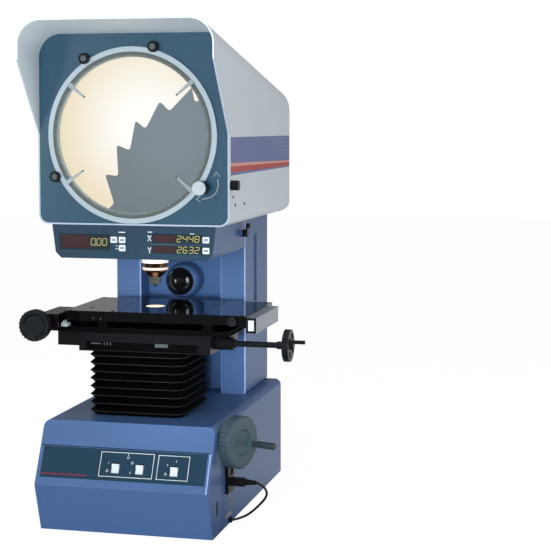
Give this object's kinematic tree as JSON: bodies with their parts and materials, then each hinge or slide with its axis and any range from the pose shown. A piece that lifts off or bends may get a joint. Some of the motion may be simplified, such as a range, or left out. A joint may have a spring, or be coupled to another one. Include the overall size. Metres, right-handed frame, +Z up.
{
  "type": "optical comparator",
  "caption": "Vertical profile projector: hooded rotating screen head on a column, counter arm with lens, lifting XY stage on bellows and a base with controls.",
  "frame": {"origin": "middle of the underside of the base", "axes": "+Z up, +X right, +Y to the rear"},
  "size_m": [0.5544, 0.634, 1.019],
  "materials": {
    "blue_paint": "fine textured blue enamel",
    "pale_paint": "satin pale grey enamel",
    "panel_paint": "satin blue-grey enamel",
    "panel_print": "printed film on a dark teal panel",
    "black_paint": "gloss black enamel",
    "black_plastic": "moulded black plastic",
    "white_plastic": "moulded white plastic",
    "window_plastic": "dark red display filter",
    "bright_steel": "turned and ground steel",
    "ring_metal": "satin anodised aluminium",
    "wheel_grey": "moulded grey plastic",
    "bellows_cloth": "coated folded cloth",
    "cord_rubber": "black cord sheath",
    "plate_steel": "dark zinc plated sheet",
    "core_iron": "varnished laminations and windings",
    "lamp_sheet": "plain sheet",
    "clear_glass": "polished glass",
    "ground_glass": "fine ground glass",
    "mirror": "front-silvered glass",
    "lens_black": "dark convex lens in a black rim"
  },
  "bodies": {
    "frame": {"base_housing": "blue_paint", "base_plate": "plate_steel", "control_panel": "panel_print", "switch_housings": "black_plastic", "power_inlet": "black_plastic", "cord_plug": "black_plastic", "lamp_cord": "cord_rubber", "cord_gland": "black_plastic", "transformer": "core_iron", "lamp_house": "lamp_sheet", "contour_lamp": "clear_glass", "fold_mirror": "mirror", "column_housing": "blue_paint", "column_rear_cover": "blue_paint", "arm_housing": "blue_paint", "display_fascia": "panel_print", "display_windows": "window_plastic", "head_shell": "pale_paint", "screen_panel": "panel_paint", "head_rear_cover": "pale_paint", "upper_mirror_bracket": "lamp_sheet", "upper_mirror": "mirror", "main_mirror_mount": "lamp_sheet", "main_mirror": "mirror", "lens_mount": "bright_steel", "lens_barrel": "black_paint", "surface_lamp_housing": "blue_paint", "surface_lamp_lens": "lens_black", "bellows": "bellows_cloth", "lift_guide": "bright_steel"},
    "contour_rocker": {"contour_switch": "white_plastic"},
    "surface_rocker": {"surface_switch": "white_plastic"},
    "power_rocker": {"power_switch": "white_plastic"},
    "count_key": {"key_count": "white_plastic"},
    "mode_key": {"key_mode": "white_plastic"},
    "unit_key": {"key_unit": "white_plastic"},
    "x_key": {"key_x": "white_plastic"},
    "y_key": {"key_y": "white_plastic"},
    "lever": {"arm_lever": "black_plastic"},
    "screen": {"screen_ring": "ring_metal", "drive_ring": "black_plastic", "ground_glass": "ground_glass", "chart_clips": "bright_steel"},
    "left_roller": {"roller_left": "black_plastic"},
    "top_roller": {"roller_top": "black_plastic"},
    "low_roller": {"roller_low": "black_plastic"},
    "feed_knob": {"screen_feed_knob": "black_plastic"},
    "clamp_knob": {"screen_clamp_knob": "black_plastic"},
    "stage": {"lift_tube": "bright_steel", "condenser_lens": "clear_glass", "stage_tray": "black_paint"},
    "screw": {"lift_screw": "bright_steel"},
    "wheel": {"lift_wheel": "wheel_grey"},
    "handle": {"crank_handle": "black_plastic"},
    "slide": {"cross_slide": "black_paint", "y_drive_housing": "black_paint"},
    "x_wheel": {"x_handwheel": "black_plastic"},
    "y_wheel": {"y_knob": "black_plastic"},
    "table": {"stage_table": "black_paint", "stage_glass": "clear_glass"}
  },
  "joints": [
    {"name": "contour_rock", "type": "hinge", "parent": "frame", "child": "contour_rocker", "pos_m": [-0.015, -0.29785, 0.13288], "axis": [1, 0, 0], "range_deg": [-16, 0]},
    {"name": "surface_rock", "type": "hinge", "parent": "frame", "child": "surface_rocker", "pos_m": [0.035, -0.29785, 0.13288], "axis": [1, 0, 0], "range_deg": [-16, 0]},
    {"name": "power_rock", "type": "hinge", "parent": "frame", "child": "power_rocker", "pos_m": [0.106, -0.29785, 0.13288], "axis": [1, 0, 0], "range_deg": [-16, 0]},
    {"name": "count_press", "type": "slide", "parent": "frame", "child": "count_key", "axis": [0, 1, 0], "range_m": [0, 0.0012], "stiffness_N_per_m": 600},
    {"name": "mode_press", "type": "slide", "parent": "frame", "child": "mode_key", "axis": [0, 1, 0], "range_m": [0, 0.0012], "stiffness_N_per_m": 600},
    {"name": "unit_press", "type": "slide", "parent": "frame", "child": "unit_key", "axis": [0, 1, 0], "range_m": [0, 0.0012], "stiffness_N_per_m": 600},
    {"name": "x_press", "type": "slide", "parent": "frame", "child": "x_key", "axis": [0, 1, 0], "range_m": [0, 0.0012], "stiffness_N_per_m": 600},
    {"name": "y_press", "type": "slide", "parent": "frame", "child": "y_key", "axis": [0, 1, 0], "range_m": [0, 0.0012], "stiffness_N_per_m": 600},
    {"name": "lever_swing", "type": "hinge", "parent": "frame", "child": "lever", "pos_m": [0.16, 0.028, 0.579], "axis": [1, 0, 0], "range_deg": [-45, 30]},
    {"name": "screen_turn", "type": "hinge", "parent": "frame", "child": "screen", "pos_m": [0, -0.235, 0.792], "axis": [0, 1, 0], "continuous": true},
    {"name": "left_roller_turn", "type": "hinge", "parent": "frame", "child": "left_roller", "pos_m": [-0.09741, -0.24, 0.94491], "axis": [0, 1, 0], "continuous": true},
    {"name": "top_roller_turn", "type": "hinge", "parent": "frame", "child": "top_roller", "pos_m": [0.04692, -0.24, 0.96712], "axis": [0, 1, 0], "continuous": true},
    {"name": "low_roller_turn", "type": "hinge", "parent": "frame", "child": "low_roller", "pos_m": [-0.16096, -0.24, 0.70857], "axis": [0, 1, 0], "continuous": true},
    {"name": "feed_turn", "type": "hinge", "parent": "frame", "child": "feed_knob", "pos_m": [0.14825, -0.24, 0.68973], "axis": [0, 1, 0], "continuous": true},
    {"name": "clamp_turn", "type": "hinge", "parent": "frame", "child": "clamp_knob", "pos_m": [0.2, -0.221, 0.694], "axis": [1, 0, 0], "range_deg": [-90, 90]},
    {"name": "stage_lift", "type": "slide", "parent": "frame", "child": "stage", "axis": [0, 0, 1], "range_m": [-0.06, 0.03], "deforming": ["bellows"]},
    {"name": "lift_screw_turn", "type": "hinge", "parent": "frame", "child": "screw", "pos_m": [0.05, -0.1494, 0.1], "axis": [0, 0, 1], "range_deg": [-360, 720]},
    {"name": "lift_wheel_turn", "type": "hinge", "parent": "frame", "child": "wheel", "pos_m": [0.222, -0.212, 0.179], "axis": [0.9397, -0.342, 0], "range_deg": [-720, 360]},
    {"name": "handle_spin", "type": "hinge", "parent": "wheel", "child": "handle", "pos_m": [0.23627, -0.17279, 0.1686], "axis": [0.9397, -0.342, 0], "continuous": true},
    {"name": "x_move", "type": "slide", "parent": "stage", "child": "slide", "axis": [1, 0, 0], "range_m": [-0.0815, 0.0185]},
    {"name": "x_wheel_turn", "type": "hinge", "parent": "stage", "child": "x_wheel", "pos_m": [0.2, -0.15, 0.368], "axis": [1, 0, 0], "range_deg": [-1500, 360]},
    {"name": "y_move", "type": "slide", "parent": "slide", "child": "table", "axis": [0, 1, 0], "range_m": [-0.0305, 0.0195]},
    {"name": "y_knob_turn", "type": "hinge", "parent": "slide", "child": "y_wheel", "pos_m": [-0.192, -0.25, 0.411], "axis": [0, 1, 0], "range_deg": [-560, 360]}
  ],
  "couplings": [
    {"joint": "left_roller_turn", "follows": "screen_turn", "ratio": -39.222},
    {"joint": "top_roller_turn", "follows": "screen_turn", "ratio": -39.222},
    {"joint": "low_roller_turn", "follows": "screen_turn", "ratio": -39.222},
    {"joint": "feed_turn", "follows": "screen_turn", "ratio": -19.432},
    {"joint": "lift_screw_turn", "follows": "stage_lift", "rad_per_m": -209.44},
    {"joint": "lift_wheel_turn", "follows": "stage_lift", "rad_per_m": 209.44},
    {"joint": "x_wheel_turn", "follows": "x_move", "rad_per_m": 314.16},
    {"joint": "y_knob_turn", "follows": "y_move", "rad_per_m": 314.16}
  ]
}
